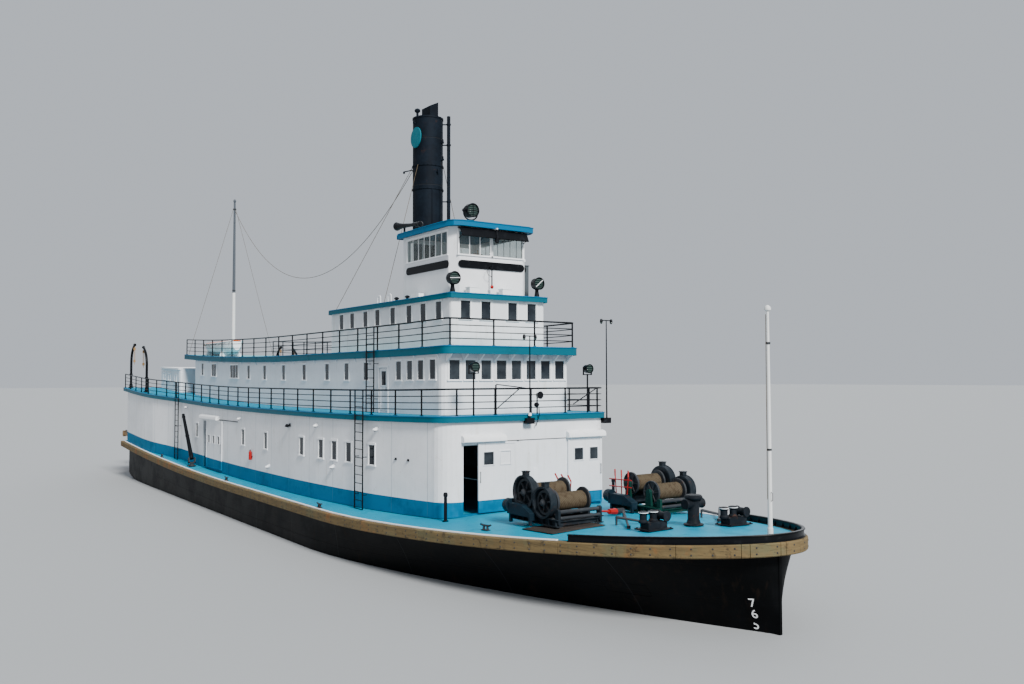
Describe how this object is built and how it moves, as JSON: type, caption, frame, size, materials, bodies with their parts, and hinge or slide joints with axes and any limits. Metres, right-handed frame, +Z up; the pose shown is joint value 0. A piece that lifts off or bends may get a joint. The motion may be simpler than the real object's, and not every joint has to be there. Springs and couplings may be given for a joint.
{
  "type": "sternwheel paddle steamer, 1:2 scale model",
  "caption": "Sternwheel paddle steamer with steel hull, timber guard, tiers of white deckhouses, pilothouse, black stack, deck winches, davits and a red stern wheel; scale model 1:2.",
  "frame": {"origin": "centre of the bounding box at the flat of the hull's bottom; the waterline is 0.71 m above it", "axes": "+X forward to the bow, +Y to port, +Z up"},
  "size_m": [33.4, 6.4, 11.31],
  "materials": {
    "hull_black": "satin",
    "guard_timber": "matte",
    "rail_black": "satin",
    "deck_cyan": "satin",
    "house_white": "satin",
    "deck_teal": "satin",
    "band_blue": "satin",
    "stack_black": "satin",
    "iron_grey": "satin",
    "winch_green": "satin",
    "spar_white": "satin",
    "wheel_red": "matte",
    "beam_white": "matte",
    "arm_timber": "matte",
    "engine_grey": "satin",
    "boat_orange": "satin",
    "lamp_dark": "satin",
    "signal_red": "satin",
    "glass": "polished",
    "brass": "satin",
    "bare_metal": "satin",
    "canvas": "matte",
    "rope": "matte",
    "rubber": "matte"
  },
  "bodies": {
    "boat": {"hull": "hull_black", "guard": "guard_timber", "bow_rail": "rail_black", "main_deck": "deck_cyan", "main_house": "house_white", "second_deck": "deck_teal", "second_house": "house_white", "third_deck": "deck_teal", "texas_house": "house_white", "texas_front": "house_white", "texas_roof": "deck_teal", "pilothouse": "house_white", "pilothouse_roof": "deck_teal", "aft_cabin": "house_white", "stack": "stack_black", "mast": "spar_white", "jackstaff": "spar_white", "second_rail": "rail_black", "third_rail": "rail_black", "boiler": "engine_grey", "king_post": "iron_grey", "fairlead_s": "iron_grey", "fairlead_p": "iron_grey", "lifeboat": "boat_orange", "boom_step": "iron_grey", "winch_frame_s": "winch_green", "winch_frame_p": "winch_green", "ladder_main_s": "rail_black", "ladder_main_p": "rail_black", "ladder_upper_s": "rail_black", "ladder_upper_p": "rail_black", "timber_s": "beam_white", "timber_p": "beam_white", "pitman_s": "arm_timber", "pitman_p": "arm_timber", "engine_s": "engine_grey", "engine_p": "engine_grey"},
    "wheel": {"wheel": "wheel_red"},
    "rudder_c": {"rudder_c": "hull_black"},
    "rudder_s": {"rudder_s": "hull_black"},
    "rudder_p": {"rudder_p": "hull_black"},
    "front_door_s": {"front_door_s": "house_white"},
    "front_door_p": {"front_door_p": "house_white"},
    "side_door_s": {"side_door_s": "house_white"},
    "side_door_p": {"side_door_p": "house_white"},
    "cabin_door_s": {"cabin_door_s": "house_white"},
    "cabin_door_p": {"cabin_door_p": "house_white"},
    "winch_drum_fore_s": {"winch_drum_fore_s": "iron_grey"},
    "winch_drum_aft_s": {"winch_drum_aft_s": "iron_grey"},
    "winch_drum_fore_p": {"winch_drum_fore_p": "iron_grey"},
    "winch_drum_aft_p": {"winch_drum_aft_p": "iron_grey"},
    "davit_fore_s": {"davit_fore_s": "rail_black"},
    "davit_fore_p": {"davit_fore_p": "rail_black"},
    "davit_aft_s": {"davit_aft_s": "rail_black"},
    "davit_aft_p": {"davit_aft_p": "rail_black"},
    "searchlight_yoke": {"searchlight_yoke": "lamp_dark"},
    "searchlight_lamp": {"searchlight_lamp": "lamp_dark"},
    "corner_light_s": {"corner_light_s": "lamp_dark"},
    "corner_light_p": {"corner_light_p": "lamp_dark"},
    "boom": {"boom": "iron_grey"}
  },
  "joints": [
    {"name": "wheel_spin", "type": "hinge", "parent": "boat", "child": "wheel", "pos_m": [-14.775, 0, 2.285], "axis": [0, 1, 0], "continuous": true},
    {"name": "rudder_c_turn", "type": "hinge", "parent": "boat", "child": "rudder_c", "pos_m": [-12.175, 0, 1], "axis": [0, 0, 1], "range_deg": [-35, 35]},
    {"name": "rudder_s_turn", "type": "hinge", "parent": "boat", "child": "rudder_s", "pos_m": [-12.175, -1.6, 1], "axis": [0, 0, 1], "range_deg": [-35, 35]},
    {"name": "rudder_p_turn", "type": "hinge", "parent": "boat", "child": "rudder_p", "pos_m": [-12.175, 1.6, 1], "axis": [0, 0, 1], "range_deg": [-35, 35]},
    {"name": "front_door_s_slide", "type": "slide", "parent": "boat", "child": "front_door_s", "axis": [0, 1, 0], "range_m": [-0.345, 0.375]},
    {"name": "front_door_p_slide", "type": "slide", "parent": "boat", "child": "front_door_p", "axis": [0, -1, 0], "range_m": [0, 0.915]},
    {"name": "side_door_s_slide", "type": "slide", "parent": "boat", "child": "side_door_s", "axis": [1, 0, 0], "range_m": [-0.45, 1.1]},
    {"name": "side_door_p_slide", "type": "slide", "parent": "boat", "child": "side_door_p", "axis": [1, 0, 0], "range_m": [-0.45, 1.1]},
    {"name": "cabin_door_s_hinge", "type": "hinge", "parent": "boat", "child": "cabin_door_s", "pos_m": [6.919, -1.63, 4.3], "axis": [0, 0, 1], "range_deg": [0, 95]},
    {"name": "cabin_door_p_hinge", "type": "hinge", "parent": "boat", "child": "cabin_door_p", "pos_m": [6.919, 1.63, 4.3], "axis": [0, 0, -1], "range_deg": [0, 95]},
    {"name": "davit_fore_s_swing", "type": "hinge", "parent": "boat", "child": "davit_fore_s", "pos_m": [-9.875, -2.91, 4.3], "axis": [0, 0, 1], "range_deg": [-100, 100]},
    {"name": "davit_fore_p_swing", "type": "hinge", "parent": "boat", "child": "davit_fore_p", "pos_m": [-9.875, 2.91, 4.3], "axis": [0, 0, -1], "range_deg": [-100, 100]},
    {"name": "davit_aft_s_swing", "type": "hinge", "parent": "boat", "child": "davit_aft_s", "pos_m": [-12.375, -2.91, 4.3], "axis": [0, 0, -1], "range_deg": [-100, 100]},
    {"name": "davit_aft_p_swing", "type": "hinge", "parent": "boat", "child": "davit_aft_p", "pos_m": [-12.375, 2.91, 4.3], "axis": [0, 0, 1], "range_deg": [-100, 100]},
    {"name": "searchlight_pan", "type": "hinge", "parent": "boat", "child": "searchlight_yoke", "pos_m": [7.825, 0, 7.9], "axis": [0, 0, 1], "range_deg": [-170, 170]},
    {"name": "searchlight_tilt", "type": "hinge", "parent": "searchlight_yoke", "child": "searchlight_lamp", "pos_m": [7.825, 0, 8.31], "axis": [0, 1, 0], "range_deg": [-60, 30]},
    {"name": "corner_light_s_pan", "type": "hinge", "parent": "boat", "child": "corner_light_s", "pos_m": [8.865, -1.1, 6.4], "axis": [0, 0, 1], "range_deg": [-170, 170]},
    {"name": "corner_light_p_pan", "type": "hinge", "parent": "boat", "child": "corner_light_p", "pos_m": [8.865, 1.1, 6.4], "axis": [0, 0, 1], "range_deg": [-170, 170]},
    {"name": "boom_topping", "type": "hinge", "parent": "boat", "child": "boom", "pos_m": [-4.025, -2.875, 1.985], "axis": [0, -1, 0], "range_deg": [-30, 45]},
    {"name": "winch_drum_fore_s_spin", "type": "hinge", "parent": "boat", "child": "winch_drum_fore_s", "pos_m": [12.53, -0.925, 2.33751], "axis": [0, 1, 0], "continuous": true},
    {"name": "winch_drum_aft_s_spin", "type": "hinge", "parent": "boat", "child": "winch_drum_aft_s", "pos_m": [11.95, -0.925, 2.45751], "axis": [0, 1, 0], "continuous": true},
    {"name": "winch_drum_fore_p_spin", "type": "hinge", "parent": "boat", "child": "winch_drum_fore_p", "pos_m": [12.38, 1.6, 2.30742], "axis": [0, 1, 0], "continuous": true},
    {"name": "winch_drum_aft_p_spin", "type": "hinge", "parent": "boat", "child": "winch_drum_aft_p", "pos_m": [11.8, 1.6, 2.42742], "axis": [0, 1, 0], "continuous": true}
  ],
  "couplings": [
    {"joint": "rudder_s_turn", "follows": "rudder_c_turn", "ratio": 1},
    {"joint": "rudder_p_turn", "follows": "rudder_c_turn", "ratio": 1}
  ]
}
